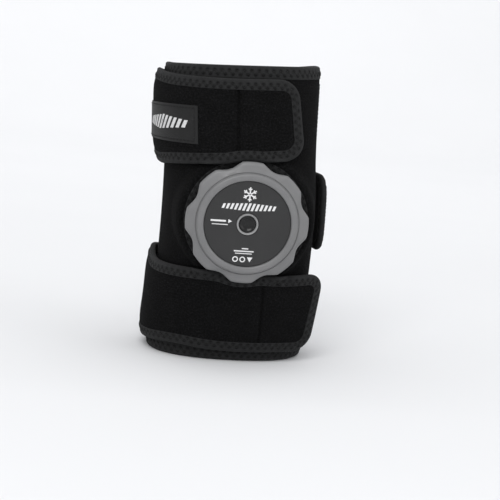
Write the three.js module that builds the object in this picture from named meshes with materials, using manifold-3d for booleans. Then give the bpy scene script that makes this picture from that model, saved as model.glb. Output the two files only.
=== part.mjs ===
// Cold compression wrap for the lower leg: a neoprene sleeve closed by three hook-and-loop straps,
// with a screw-capped ice cell held in a round opening in its front. Millimetres, +Z up.
// The sleeve stands on its lower hem, the cap faces -Y and tips down by CELL_TILT, +X is the shin side.
// Pivot groups are named after the joint that turns or slides them.
import * as THREE from "three";
import { mergeVertices } from "three/addons/utils/BufferGeometryUtils.js";
import Module from "manifold-3d";

const RAD = Math.PI / 180;
const TURN = 2 * Math.PI;

// ---- driving dimensions -------------------------------------------------------------------------
const SLEEVE_HEIGHT = 218;
const FOAM = 4.6; // laminated neoprene of the panels
const STRAP_FOAM = 4.4;
const STRAP_INNER = 1.6; // clear space under a strap, filled by hook, loop and hem
const STRAP_OUTER = STRAP_INNER + STRAP_FOAM;
const HEM_WIDTH = 9; // binding tape on the hems
const TAPE = 0.6; // binding tape's thickness
const TAPE_OUT = 1.1; // how far the outer leg of a binding stands above the panel
const TAPE_IN = FOAM + 1.1; // how far its inner leg lies below the panel's face
const SEW_GAP = 0.4; // between two pieces that are sewn edge to edge
const FRONT_EDGE = 78; // degrees round the leg where the front panel meets each wing
const CALF_END = -172; // degrees where the calf wing ends
const SHIN_END = 170;

const CELL = new THREE.Vector3(2.8, -68, 107.5); // where the cap's axis meets the panel's face
const CELL_TILT = 5 * RAD;
const CENTRE_X = 0.365; // bring the middle of the wrap's width and depth to X = 0 and Y = 0
const CENTRE_Y = 13.7;
const FLAT_RADIUS = 46.5; // the cell's flange holds the panel flat within this radius
const HOLE_RADIUS = 39.5;

const NECK_INNER = 31.5;
const NECK_OUTER = 34.5;
const NECK_TOP = 9;
const FLANGE_RADIUS = 43.5;
const FLANGE_FRONT = -6;
const FLANGE_BACK = -8;
const THREAD_LEAD = 10; // axial travel of the cap in one turn
const THREAD_STARTS = 2;
const THREAD_SPAN = 0.55; // turns in each rib
const THREAD_FOOT = 2.7;
const THREAD_WIDTH = 1.4;

const CAP_RADIUS = 44.4;
const LOBES = 8;
const LOBE_DEPTH = 3.4;
const LOBE_TURN = -1 * RAD; // one lobe stands a little off the top
const SKIRT_OUTER = 40;
const SKIRT_INNER = 36.5;
const SKIRT_FOOT = 1.6;
const GRIP_FOOT = 6.9;
const GRIP_RIM = 11.6; // height of the grip's outer rim
const RING_OUTER = 38.6;
const RING_TOP = 15;
const DISC_RADIUS = 32.4;
const DISC_FLOOR = 12.4;
const PLATE_UNDER = 10.6;

const WELL_RADIUS = 6.7; // well of the release button
const BOSS_RADIUS = 8.4;
const VALVE_FLOOR = 2.6;

// ---- the worn shape -----------------------------------------------------------------------------
// Every fabric layer is an offset of one skin, the outer face of the panels. A place on it is given
// by degrees round the leg (0 at the front, +90 at the shin, -90 at the calf) and a height.
const clamp = (v, low, high) => Math.min(high, Math.max(low, v));

function smoothMin(a, b, k) {
  const h = k > 0 ? Math.max(k - Math.abs(a - b), 0) / k : 0;
  return Math.min(a, b) - (h * h * k) / 4;
}

const waist = (z) => 1.2 / (1 + Math.exp((135 - z) / 7)); // the shin side stands in above the cell
const midline = (z) => 2 - 3 * ((z - 110) / 108) ** 2 - waist(z); // the limb bows towards the shin
const halfWidth = (z) => 57.6 + 2 * ((z - 110) / 108) ** 2 - waist(z);
const farDepth = (z) => 46 + (7 * z) / SLEEVE_HEIGHT;
const platePlane = (z) => -CELL.y + (z - CELL.z) * Math.tan(CELL_TILT);
const topEdge = (deg) =>
  SLEEVE_HEIGHT - 0.4 + 2.6 * Math.sin(deg * RAD) - 5 * Math.min(Math.cos(deg * RAD), 0) ** 2;

// The front is drawn tight from each hem to the edge of the cell's flange.
function nearDepth(z) {
  const fromBelow = 50 + 0.205 * z;
  const fromAbove = 58 + 0.19 * (SLEEVE_HEIGHT - z);
  return smoothMin(smoothMin(fromBelow, fromAbove, 8), platePlane(z) - 1, 4);
}

function limbRadius(deg, half, depth, power) {
  const s = Math.abs(Math.sin(deg * RAD)) / half;
  const c = Math.abs(Math.cos(deg * RAD)) / depth;
  return (s ** power + c ** power) ** (-1 / power);
}

function baseRadius(deg, z) {
  const near = Math.cos(deg * RAD) > 0;
  const squareness = 2.3 + (near ? 0.9 * Math.exp(-(((z - CELL.z) / 60) ** 2)) : 0);
  return limbRadius(deg, halfWidth(z), near ? nearDepth(z) : farDepth(z), squareness);
}

// How far a point is outside the flat round seat that the cell's flange presses into the panel.
const cellAxis = new THREE.Vector3(0, -Math.cos(CELL_TILT), -Math.sin(CELL_TILT));
function outsideSeat(point) {
  const from = point.clone().sub(CELL);
  const out = from.dot(cellAxis);
  const radius = Math.sqrt(Math.max(from.lengthSq() - out * out, 0));
  const past = Math.max(radius - FLAT_RADIUS, 0);
  const drop = 0.3 * past + 0.1 * past ** 2 + 0.01 * past ** 4;
  const behind = Math.max(point.y + 50, 0);
  return { distance: out + drop + behind ** 2 / 8, softness: 6 * clamp(past / 5, 0, 1) };
}

const polar = (deg, r, z) =>
  new THREE.Vector3(midline(z) + r * Math.sin(deg * RAD), -r * Math.cos(deg * RAD), z);

function skinRadius(deg, z) {
  const base = baseRadius(deg, z);
  if (Math.cos(deg * RAD) <= 0) return base;
  let inside = 20;
  let outside = 110;
  for (let i = 0; i < 34; i++) {
    const r = (inside + outside) / 2;
    const seat = outsideSeat(polar(deg, r, z));
    if (smoothMin(r - base, seat.distance, seat.softness) < 0) inside = r;
    else outside = r;
  }
  return (inside + outside) / 2;
}

const ringPoint = (deg, z) => polar(deg, skinRadius(deg, z), z);

// A point at a level offset from the skin: positive is away from the leg.
function skin(deg, z, offset) {
  const along = ringPoint(deg + 0.5, z).sub(ringPoint(deg - 0.5, z));
  const out = new THREE.Vector3(along.y, -along.x, 0).normalize();
  return ringPoint(deg, z).addScaledVector(out, offset);
}

// ---- mesh helpers -------------------------------------------------------------------------------
function geometryOf(points, faces) {
  const position = new Float32Array(points.flatMap((p) => p.toArray()));
  const geometry = new THREE.BufferGeometry()
    .setAttribute("position", new THREE.BufferAttribute(position, 3))
    .setIndex(faces.flat());
  return facingOut(geometry);
}

// Turns a closed geometry's faces round if its signed volume is negative.
function facingOut(geometry) {
  const p = geometry.getAttribute("position");
  const index = geometry.index.array;
  const [a, b, c] = [new THREE.Vector3(), new THREE.Vector3(), new THREE.Vector3()];
  let volume = 0;
  for (let i = 0; i < index.length; i += 3) {
    a.fromBufferAttribute(p, index[i]);
    b.fromBufferAttribute(p, index[i + 1]);
    c.fromBufferAttribute(p, index[i + 2]);
    volume += a.dot(b.cross(c));
  }
  if (volume < 0)
    for (let i = 0; i < index.length; i += 3) [index[i + 1], index[i + 2]] = [index[i + 2], index[i + 1]];
  return geometry;
}

// Joins equal rings of points into one closed body. An open row of rings is closed at both ends by
// cap, a list of triangles over one ring that run the same way round as the ring.
function loft(rings, cap = null) {
  const n = rings[0].length;
  const count = rings.length;
  const faces = [];
  const last = cap ? count - 1 : count;
  for (let i = 0; i < last; i++)
    for (let j = 0; j < n; j++) {
      const [a, b] = [i * n + j, i * n + ((j + 1) % n)];
      const [c, d] = [((i + 1) % count) * n + j, ((i + 1) % count) * n + ((j + 1) % n)];
      faces.push([a, b, d], [a, d, c]);
    }
  const end = (count - 1) * n;
  for (const [a, b, c] of cap ?? []) faces.push([c, b, a], [end + a, end + b, end + c]);
  return geometryOf(rings.flat(), faces);
}

// Caps for an outline of any shape, and for a sheet whose ring goes up one face and down the other.
function outlineCap(profile) {
  const outline = profile.map(([x, y]) => new THREE.Vector2(x, y));
  const sense = Math.sign(THREE.ShapeUtils.area(outline));
  return THREE.ShapeUtils.triangulateShape(outline, []).map((triangle) => {
    const area = THREE.ShapeUtils.area(triangle.map((i) => outline[i]));
    return Math.sign(area) === sense ? triangle : triangle.toReversed();
  });
}

function sheetCap(n) {
  const triangles = [];
  for (let i = 0; i < n / 2 - 1; i++) triangles.push([i, i + 1, n - 2 - i], [i, n - 2 - i, n - 1 - i]);
  return triangles;
}

const steps = (from, to, size) => {
  const count = Math.max(1, Math.round(Math.abs(to - from) / size));
  return Array.from({ length: count + 1 }, (_, i) => from + ((to - from) * i) / count);
};

// Degrees round the leg. Every layer bends on the same GRID lines, so that layers keep their spacing.
const GRID = 10;
function degreesRound(from, to) {
  const towards = Math.sign(to - from);
  const lines = [];
  for (let k = -24; k <= 24; k++) {
    const deg = k * GRID * towards;
    if ((deg - from) * towards > 2.5 && (to - deg) * towards > 2.5) lines.push(deg);
  }
  return [from, ...lines, to];
}

// Sweeps a profile round the leg: profileAt(deg) gives pairs of offset and height.
// A third number in a pair is added to the degrees.
function sweepRound(degrees, profileAt, capOf = outlineCap) {
  const rings = degrees.map((deg) => profileAt(deg).map(([offset, z, lean = 0]) => skin(deg + lean, z, offset)));
  return loft(rings, capOf(profileAt(degrees[0])));
}

const sweepSheet = (degrees, profileAt) => sweepRound(degrees, profileAt, (profile) => sheetCap(profile.length));

const sheetProfile = (inner, outer, heights) => [
  ...heights.map((z) => [outer, z]),
  ...heights.toReversed().map((z) => [inner, z]),
];

// A U of binding tape that closes over an edge: at is the folded edge, into points along the panel.
const bindingProfile = (at, into) => [
  [-TAPE_IN, at],
  [TAPE_OUT, at],
  [TAPE_OUT, at + into * HEM_WIDTH],
  [TAPE_OUT - TAPE, at + into * HEM_WIDTH],
  [TAPE_OUT - TAPE, at + into * 1.2],
  [TAPE - TAPE_IN, at + into * 1.2],
  [TAPE - TAPE_IN, at + into * HEM_WIDTH],
  [-TAPE_IN, at + into * HEM_WIDTH],
];

// A ring about local +Z from a closed profile of radius and height.
function turned(profile, segments = 40) {
  const points = [...profile, profile[0]].map(([r, h]) => new THREE.Vector2(r, h));
  return upright(new THREE.LatheGeometry(points, segments));
}

// A solid about local +Z whose profile starts and ends on the axis.
function turnedSolid(profile, segments = 32) {
  return upright(new THREE.LatheGeometry(profile.map(([r, h]) => new THREE.Vector2(r, h)), segments));
}

function upright(geometry) {
  geometry.rotateX(Math.PI / 2);
  geometry.deleteAttribute("uv");
  geometry.deleteAttribute("normal");
  return facingOut(mergeVertices(geometry, 1e-3));
}

const wasm = await Module();
wasm.setup();

function solidOf(geometry) {
  const bare = new THREE.BufferGeometry()
    .setAttribute("position", geometry.getAttribute("position"))
    .setIndex(geometry.index ?? null);
  const merged = mergeVertices(bare, 1e-3);
  return new wasm.Manifold(
    new wasm.Mesh({
      numProp: 3,
      vertProperties: merged.getAttribute("position").array,
      triVerts: new Uint32Array(merged.index.array),
    }),
  );
}

function geometryFrom(solid) {
  const mesh = solid.getMesh();
  return new THREE.BufferGeometry()
    .setAttribute("position", new THREE.BufferAttribute(mesh.vertProperties, 3))
    .setIndex(new THREE.BufferAttribute(mesh.triVerts, 1));
}

// ---- materials ----------------------------------------------------------------------------------
const material = (color, roughness, metalness = 0) =>
  new THREE.MeshStandardMaterial({ color, roughness, metalness });
const loopFabric = material(0x141416, 0.95);
const tapeFabric = material(0x232427, 0.85);
const hookTape = material(0x1b1b1e, 0.8);
const labelWeave = material(0x2a2b2e, 0.7);
const capPlastic = material(0x7f8081, 0.45);
const discPlastic = material(0x3c3d3f, 0.4);
const bezelPlastic = material(0x8c8d8e, 0.35);
const buttonRubber = material(0x1c1d1f, 0.5);
const neckPlastic = material(0x2c2d30, 0.5);
const bladderFilm = material(0x5f7c92, 0.55);
const sealRubber = material(0x111214, 0.7);
const springSteel = material(0xb4b6b8, 0.3, 1);

const wrap = new THREE.Group();
const sleeve = new THREE.Group();
sleeve.position.set(CENTRE_X, CENTRE_Y, 0);
wrap.add(sleeve);

function add(parent, name, geometry, finish) {
  const mesh = new THREE.Mesh(geometry, finish);
  mesh.name = name;
  parent.add(mesh);
  return mesh;
}

// ---- panels and their bindings ------------------------------------------------------------------
const panelBottom = () => 1.6;
const panelTop = (deg) => topEdge(deg) - 1.6;

function panelHeights(deg, count = 12) {
  const [low, high] = [panelBottom(), panelTop(deg)];
  return Array.from({ length: count + 1 }, (_, i) => low + ((high - low) * i) / count);
}

function wing(from, to) {
  return sweepSheet(degreesRound(from, to), (deg) => sheetProfile(-FOAM, 0, panelHeights(deg)));
}

// The front panel runs out in rings from its round opening to its four edges.
function frontPanel() {
  const edge = FRONT_EDGE - SEW_GAP / 2;
  const across = degreesRound(-edge, edge);
  const rim = [
    ...across.slice(0, -1).map((deg) => [deg, panelBottom()]),
    ...panelHeights(edge).slice(0, -1).map((z) => [edge, z]),
    ...across.toReversed().slice(0, -1).map((deg) => [deg, panelTop(deg)]),
    ...panelHeights(-edge).toReversed().slice(0, -1).map((z) => [-edge, z]),
  ];
  const flatRings = [HOLE_RADIUS, 45.4, 49, 54];
  const spread = [0.35, 0.62, 0.86, 1];
  const rings = rim.map(([deg, z]) => {
    const angle = Math.atan2(z - CELL.z, deg * 1.05);
    const places = flatRings.map((r) => {
      const up = r * Math.sin(angle);
      const y = CELL.y - up * Math.sin(CELL_TILT);
      const x = CELL.x + r * Math.cos(angle);
      const height = CELL.z + up * Math.cos(CELL_TILT);
      return [Math.atan2(x - midline(height), -y) / RAD, height];
    });
    const [startDeg, startZ] = places[places.length - 1];
    for (const t of spread) places.push([startDeg + (deg - startDeg) * t, startZ + (z - startZ) * t]);
    return [
      ...places.map(([d, h]) => skin(d, h, 0)),
      ...places.toReversed().map(([d, h]) => skin(d, h, -FOAM)),
    ];
  });
  return loft(rings);
}

add(sleeve, "front_panel", frontPanel(), loopFabric);
add(sleeve, "calf_wing", wing(-FRONT_EDGE - SEW_GAP / 2, CALF_END + 1.5), loopFabric);
add(sleeve, "shin_wing", wing(FRONT_EDGE + SEW_GAP / 2, SHIN_END - 1.5), loopFabric);

const hemDegrees = degreesRound(CALF_END, SHIN_END);
add(sleeve, "bottom_hem_binding", sweepRound(hemDegrees, () => bindingProfile(0, 1)), tapeFabric);
add(sleeve, "top_hem_binding", sweepRound(hemDegrees, (deg) => bindingProfile(topEdge(deg), -1)), tapeFabric);

// The two upright edges of the wings, bound between the hems.
function edgeBinding(endDegrees, intoDegrees) {
  const degreesPerMm = 1 / (RAD * 50);
  const profile = bindingProfile(0, 1).map(([offset, d]) => [offset, endDegrees + intoDegrees * d * degreesPerMm]);
  const heights = steps(HEM_WIDTH + 0.5, topEdge(endDegrees) - HEM_WIDTH - 0.5, 20);
  return loft(heights.map((z) => profile.map(([offset, deg]) => skin(deg, z, offset))), outlineCap(profile));
}
add(sleeve, "calf_edge_binding", edgeBinding(CALF_END, 1), tapeFabric);
add(sleeve, "shin_edge_binding", edgeBinding(SHIN_END, -1), tapeFabric);

// ---- straps -------------------------------------------------------------------------------------
// skew leans a cross line by so many degrees from the strap's lower edge to its upper.
// A strap is one length of neoprene. It is cut here into links so that it can unwrap: the anchor is
// sewn to a wing, each link turns on an upright line in its outer face, and the last is the tab with
// the hook pad under it.
const CORNER = 14; // radius of a tab's corners
const LINK_GAP = 0.7; // on each side of a turning line
const SKIN_RADIUS = 62; // mean radius, to turn millimetres into degrees
const toDegrees = (mm) => mm / SKIN_RADIUS / RAD;

const bump = (deg, centre, width) => Math.exp(-(((deg - centre) / width) ** 2));

// Half the height of a circle round the cap at a place in front of it. Straps keep outside it, so
// that they swing clear of the cap.
function besideCap(deg, radius) {
  const across = 62 * Math.sin(deg * RAD) - CELL.x;
  return Math.cos(deg * RAD) < 0 ? 0 : Math.sqrt(Math.max(radius ** 2 - across ** 2, 0));
}

const straps = {
  upper: {
    bottom: (deg) => Math.max(149.7 + 0.13 * clamp(deg, -60, 60), CELL.z + besideCap(deg, 44.7)),
    top: (deg) => 208.3 + 3.2 * Math.sin(deg * RAD) + 2.2 * Math.min(Math.sin(deg * RAD), 0) ** 2,
    lift: (deg) => 3.5 * bump(deg, -90, 38),
    skew: (deg) => -1.5 * bump(deg, -6.5, 30),
    anchor: [-205, -181],
    lines: [-180, -146, -112, -24],
    tabLine: -6.5,
    end: 33.3,
    names: ["far", "calf", "side", "front"],
  },
  lower: {
    bottom: (deg) => 8 + 2.2 * bump(deg, -42, 22),
    top: (deg) => Math.min(69.5 - 2 * bump(deg, 30, 30) + 6 * bump(deg, -100, 25), CELL.z - besideCap(deg, 52.6)),
    lift: (deg) => 2 * bump(deg, -90, 38) + 8.5 * clamp((deg - 28) / 32, 0, 1.2) ** 2,
    skew: (deg) => -6 * bump(deg, 18, 24),
    anchor: [-205, -181],
    lines: [-180, -132, -83, -33],
    tabLine: 18,
    end: 58,
    names: ["far", "calf", "side", "front"],
  },
  middle: {
    bottom: () => 81,
    top: () => 139,
    lift: (deg) => 3 * clamp((102 - deg) / 25, 0, 1) ** 2,
    skew: () => 0,
    anchor: [216, 196],
    lines: [195, 150],
    tabLine: 110,
    end: 72,
    names: ["far", "shin"],
  },
};

function strapProfile(strap, deg, inner, outer, inset = 0) {
  const [bottom, top] = [strap.bottom(deg), strap.top(deg)];
  const shares = [0, 0.25, 0.5, 0.75, 1].map((t) => (inset + (top - bottom - 2 * inset) * t) / (top - bottom));
  const out = strap.lift(deg);
  const row = (offset) => shares.map((t) => [offset + out, bottom + (top - bottom) * t, strap.skew(deg) * (t - 0.5)]);
  return [...row(outer), ...row(inner).toReversed()];
}

function strapBand(strap, from, to, inner = STRAP_INNER, outer = STRAP_OUTER) {
  return sweepSheet(degreesRound(from, to), (deg) => strapProfile(strap, deg, inner, outer));
}

// The tab's free end has round corners, so its rings close up as they come to the end.
function tabBand(strap, from, inner, outer, inset, radius) {
  const towards = Math.sign(strap.end - from);
  const end = strap.end - towards * toDegrees(inset);
  const corner = [1, 0.6, 0.3, 0.1, 0].map((t) => end - towards * toDegrees(radius * t));
  const degrees = [...degreesRound(from, corner[0]).slice(0, -1), ...corner];
  return sweepSheet(degrees, (deg) => {
    const toEnd = Math.abs(end - deg) * RAD * SKIN_RADIUS;
    const left = clamp(1 - toEnd / radius, 0, 1);
    const rounding = radius * (1 - Math.sqrt(1 - left * left));
    return strapProfile(strap, deg, inner, outer, inset + rounding);
  });
}

// A pivot on the strap's outer face, its local Z along the face from the lower to the upper edge.
function pivotAt(name, strap, deg) {
  const out = STRAP_OUTER + strap.lift(deg) + 0.3;
  const low = skin(deg - strap.skew(deg) / 2, strap.bottom(deg), out);
  const high = skin(deg + strap.skew(deg) / 2, strap.top(deg), out);
  const pivot = new THREE.Group();
  pivot.name = name;
  pivot.position.copy(low).add(high).multiplyScalar(0.5);
  pivot.quaternion.setFromUnitVectors(new THREE.Vector3(0, 0, 1), high.sub(low).normalize());
  return pivot;
}

// Hangs child on parent without moving it.
function nest(parent, child) {
  sleeve.updateMatrixWorld(true);
  parent.attach(child);
}

function addStrap(key) {
  const strap = straps[key];
  const towards = Math.sign(strap.end - strap.anchor[0]);
  const gap = towards * toDegrees(LINK_GAP);
  add(sleeve, `${key}_strap_anchor`, strapBand(strap, ...strap.anchor), loopFabric);
  const turns = [...strap.lines, strap.tabLine];
  let parent = sleeve;
  const pivots = turns.map((deg, i) => {
    const isTab = i === strap.lines.length;
    const pivot = pivotAt(isTab ? `${key}_tab_peel` : `${key}_unwrap_${i + 1}`, strap, deg);
    sleeve.add(pivot);
    nest(parent, pivot);
    parent = pivot;
    return pivot;
  });
  strap.lines.forEach((deg, i) => {
    const link = add(sleeve, `${key}_strap_${strap.names[i]}`, strapBand(strap, deg + gap, turns[i + 1] - gap), loopFabric);
    nest(pivots[i], link);
  });
  const tabStart = strap.tabLine + gap;
  const tab = add(sleeve, `${key}_strap_tab`, tabBand(strap, tabStart, STRAP_INNER, STRAP_OUTER, 0, CORNER), loopFabric);
  const padGeometry = tabBand(strap, tabStart + towards * 2, 0.85, 1.3, 5, CORNER - 5);
  const pad = add(sleeve, `${key}_hook_pad`, padGeometry, hookTape);
  nest(pivots.at(-1), tab);
  nest(pivots.at(-1), pad);
  return pivots;
}

const upperPivots = addStrap("upper");
addStrap("lower");
addStrap("middle");

// The woven label lies on the upper strap, over its side link.
const labelProfile = (deg) => {
  const middle = 172.2 + 0.02 * (deg + 60);
  const out = STRAP_OUTER + straps.upper.lift(deg);
  const lean = 2.5 * clamp((deg + 60) / 30, 0, 1);
  const row = (offset) => [-1, 0, 1].map((t) => [out + offset, middle + 14 * t, -lean * t]);
  return [...row(1.2), ...row(0.55).toReversed()];
};
const label = add(sleeve, "label_patch", sweepSheet(degreesRound(-29, -109), labelProfile), labelWeave);
nest(upperPivots[2], label);

// ---- ice cell -----------------------------------------------------------------------------------
// Local axes of the cell: +Z out along the cap's axis, +Y up, +X towards the shin. Its origin is in
// the panel's outer face.
const cell = new THREE.Group();
cell.position.copy(CELL);
cell.rotation.x = Math.PI / 2 + CELL_TILT;
sleeve.add(cell);

const openingBinding = [
  [HOLE_RADIUS - 1.3, -TAPE_IN],
  [45, -TAPE_IN],
  [45, TAPE - TAPE_IN],
  [HOLE_RADIUS - 0.7, TAPE - TAPE_IN],
  [HOLE_RADIUS - 0.7, TAPE_OUT - TAPE],
  [45, TAPE_OUT - TAPE],
  [45, TAPE_OUT],
  [HOLE_RADIUS - 1.3, TAPE_OUT],
];
add(cell, "cell_opening_binding", turned(openingBinding), tapeFabric);

// One helical rib between two radii. It rises by the lead in a full turn.
function threadRib(root, crest, startAngle) {
  const count = 12;
  const rings = Array.from({ length: count + 1 }, (_, i) => {
    const share = (THREAD_SPAN * i) / count;
    const angle = startAngle + share * TURN;
    const middle = THREAD_FOOT + share * THREAD_LEAD;
    const half = THREAD_WIDTH / 2;
    return [
      [root, -half * 1.5],
      [crest, -half * 0.6],
      [crest, half * 0.6],
      [root, half * 1.5],
    ].map(([r, h]) => new THREE.Vector3(r * Math.cos(angle), r * Math.sin(angle), middle + h));
  });
  return loft(rings, sheetCap(4));
}

function withThread(body, root, crest, phase) {
  let solid = solidOf(body);
  for (let start = 0; start < THREAD_STARTS; start++)
    solid = solid.add(solidOf(threadRib(root, crest, phase + (start * TURN) / THREAD_STARTS)));
  return geometryFrom(solid);
}

const neckBody = turned([
  [NECK_INNER, FLANGE_BACK],
  [FLANGE_RADIUS, FLANGE_BACK],
  [FLANGE_RADIUS, FLANGE_FRONT],
  [NECK_OUTER, FLANGE_FRONT],
  [NECK_OUTER, NECK_TOP],
  [NECK_INNER, NECK_TOP],
]);
add(cell, "cell_neck", withThread(neckBody, NECK_OUTER - 0.4, NECK_OUTER + 1.2, 0), neckPlastic);

// The clamp ring traps the bladder's mouth against the back of the flange.
const clampRing = turned([
  [NECK_INNER, -12],
  [35.4, -12],
  [35.4, -10.2],
  [NECK_INNER, -10.2],
]);
add(cell, "bladder_clamp_ring", clampRing, neckPlastic);

// The bladder fills the room between the panel and the leg. Its front and back come from how deep
// a point along the cell's axis is under the skin, and how far it is off the limb.
const BLADDER_WALL = 1.2;
const BLADDER_HALF_WIDTH = 46;
const BLADDER_HALF_HEIGHT = 59;
const BLADDER_FRONT = -8.4;
const BLADDER_UNDER_SKIN = FOAM + 2.6;
const LIMB_CLEAR = 6.4; // the limb's face below the plain skin, under foam and lining

const cellMatrix = new THREE.Matrix4().compose(
  CELL,
  new THREE.Quaternion().setFromEuler(cell.rotation),
  new THREE.Vector3(1, 1, 1),
);

function roomAt(u, v) {
  const depthOf = (w, radiusAt) => {
    const p = new THREE.Vector3(u, v, w).applyMatrix4(cellMatrix);
    const x = p.x - midline(p.z);
    return radiusAt(Math.atan2(x, -p.y) / RAD, p.z) - Math.hypot(x, p.y);
  };
  const limb = (deg, z) =>
    limbRadius(deg, halfWidth(z) - LIMB_CLEAR, 50 + (6 * z) / SLEEVE_HEIGHT - LIMB_CLEAR + 1, 2.2);
  const solve = (target, radiusAt) => {
    let [low, high] = [-66, 0];
    for (let i = 0; i < 30; i++) {
      const w = (low + high) / 2;
      if (depthOf(w, radiusAt) > target) low = w;
      else high = w;
    }
    return (low + high) / 2;
  };
  return { front: Math.min(solve(BLADDER_UNDER_SKIN, skinRadius), BLADDER_FRONT), back: solve(-0.6, limb) };
}

function bladder() {
  const around = 28;
  const wallAt = (share, front, inside) => (angle) => {
    const u = BLADDER_HALF_WIDTH * share * Math.cos(angle);
    const v = BLADDER_HALF_HEIGHT * share * Math.sin(angle);
    const room = roomAt(u, v);
    const middle = (room.front + room.back) / 2;
    const puff = Math.sqrt(Math.max(1 - share ** 10, 0));
    const half = Math.max((room.front - room.back) / 2, 2.2) * puff + 1.6 * (1 - puff);
    const wall = inside ? Math.min(BLADDER_WALL, half - 0.3) : 0;
    return new THREE.Vector3(u, v, middle + (front ? 1 : -1) * (half - wall));
  };
  // The mouth is a true circle, so the first rows are blended from it to the ellipse.
  const mouthAt = (radius, w) => (angle) => new THREE.Vector3(radius * Math.cos(angle), radius * Math.sin(angle), w);
  const frontRows = [0.82, 0.9, 0.96, 1];
  const backRows = [0.94, 0.82, 0.62, 0.4, 0.2];
  const innerShare = (s) => Math.min(s, 0.965);
  const rows = [
    mouthAt(NECK_INNER + 0.4, BLADDER_FRONT),
    mouthAt(36, BLADDER_FRONT),
    ...frontRows.map((s) => wallAt(s, true, false)),
    ...backRows.map((s) => wallAt(s, false, false)),
  ];
  const innerRows = [
    ...backRows.toReversed().map((s) => wallAt(innerShare(s), false, true)),
    ...frontRows.slice(0, -1).toReversed().map((s) => wallAt(innerShare(s), true, true)),
    mouthAt(36, BLADDER_FRONT - BLADDER_WALL),
    mouthAt(NECK_INNER + 0.4, BLADDER_FRONT - BLADDER_WALL),
  ];
  const ringsOf = (list) => list.map((row) => Array.from({ length: around }, (_, i) => row((TURN * i) / around)));
  const outer = ringsOf(rows);
  const inner = ringsOf(innerRows);
  const all = [...outer, ...inner];
  const points = all.flat();
  const faces = [];
  const join = (a, b) => {
    for (let i = 0; i < around; i++) {
      const j = (i + 1) % around;
      faces.push([a * around + i, a * around + j, b * around + j], [a * around + i, b * around + j, b * around + i]);
    }
  };
  for (let r = 0; r < outer.length - 1; r++) join(r, r + 1);
  for (let r = outer.length; r < all.length - 1; r++) join(r, r + 1);
  join(all.length - 1, 0);
  // The two middles of the back wall are closed to a point each.
  const close = (row, inside, flip) => {
    points.push(wallAt(0, false, inside)(0));
    const tip = points.length - 1;
    for (let i = 0; i < around; i++) {
      const [a, b] = [row * around + i, row * around + ((i + 1) % around)];
      faces.push(flip ? [b, a, tip] : [a, b, tip]);
    }
  };
  close(outer.length - 1, false, false);
  close(outer.length, true, true);
  return geometryOf(points, faces);
}
add(cell, "ice_bladder", bladder(), bladderFilm);

// ---- cap, which lifts as it turns ---------------------------------------------------------------
const capLift = new THREE.Group();
capLift.name = "cap_lift";
cell.add(capLift);
const gasket = [
  [NECK_INNER - 0.2, NECK_TOP + 0.3],
  [35.8, NECK_TOP + 0.3],
  [35.8, PLATE_UNDER - 0.3],
  [NECK_INNER - 0.2, PLATE_UNDER - 0.3],
];
add(capLift, "cap_gasket", turned(gasket), sealRubber);

const cap = new THREE.Group();
cap.name = "cap_turn";
capLift.add(cap);

// The grip's outline: eight flat-topped lobes with a hollow for a finger between each two.
function gripOutline() {
  const perLobe = 8;
  const flat = 0.42; // share of each lobe's arc that keeps the full radius
  return Array.from({ length: LOBES * perLobe }, (_, i) => {
    const share = (i % perLobe) / perLobe;
    const fromTop = Math.abs(share - 0.5) * 2; // 0 in the middle of the hollow, 1 in the middle of the lobe
    const hollow = clamp((1 - flat - fromTop) / (1 - flat), 0, 1);
    const radius = CAP_RADIUS - LOBE_DEPTH * Math.sin((hollow * Math.PI) / 2) ** 1.5;
    const angle = Math.PI / 2 + LOBE_TURN + (TURN * i) / (LOBES * perLobe);
    return new THREE.Vector2(radius * Math.cos(angle), radius * Math.sin(angle));
  });
}

function capShell() {
  const body = turned(
    [
      [SKIRT_INNER, SKIRT_FOOT],
      [SKIRT_OUTER, SKIRT_FOOT],
      [SKIRT_OUTER, GRIP_RIM],
      [RING_OUTER, RING_TOP - 1.6],
      [RING_OUTER - 1, RING_TOP - 0.3],
      [RING_OUTER - 2.4, RING_TOP],
      [DISC_RADIUS + 1.2, RING_TOP],
      [DISC_RADIUS + 0.4, RING_TOP - 0.7],
      [DISC_RADIUS + 0.3, DISC_FLOOR],
      [WELL_RADIUS, DISC_FLOOR],
      [WELL_RADIUS, VALVE_FLOOR + 1.4],
      [2.6, VALVE_FLOOR + 1.4],
      [2.6, VALVE_FLOOR],
      [BOSS_RADIUS, VALVE_FLOOR],
      [BOSS_RADIUS, PLATE_UNDER],
      [SKIRT_INNER, PLATE_UNDER],
    ],
    48,
  );
  const bevel = 1;
  const grip = new THREE.ExtrudeGeometry(new THREE.Shape(gripOutline()), {
    depth: GRIP_RIM - GRIP_FOOT - bevel,
    bevelEnabled: true,
    bevelThickness: bevel,
    bevelSize: bevel,
    bevelOffset: -bevel,
    bevelSegments: 1,
    curveSegments: 1,
  });
  grip.translate(0, 0, GRIP_FOOT + bevel);
  grip.deleteAttribute("uv");
  grip.deleteAttribute("normal");
  const core = turnedSolid([
    [0, GRIP_FOOT - 1],
    [SKIRT_OUTER - 1.2, GRIP_FOOT - 1],
    [SKIRT_OUTER - 1.2, GRIP_RIM + 1],
    [0, GRIP_RIM + 1],
  ], 48);
  const shell = solidOf(grip).subtract(solidOf(core)).add(solidOf(body));
  return withThread(geometryFrom(shell), SKIRT_INNER + 0.4, SKIRT_INNER - 1.4, TURN / 4);
}
add(cap, "cap_shell", capShell(), capPlastic);

const disc = [
  [BOSS_RADIUS + 0.2, DISC_FLOOR + 0.3],
  [DISC_RADIUS, DISC_FLOOR + 0.3],
  [DISC_RADIUS, DISC_FLOOR + 1.5],
  [BOSS_RADIUS + 0.2, DISC_FLOOR + 1.5],
];
add(cap, "label_disc", turned(disc), discPlastic);

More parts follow.
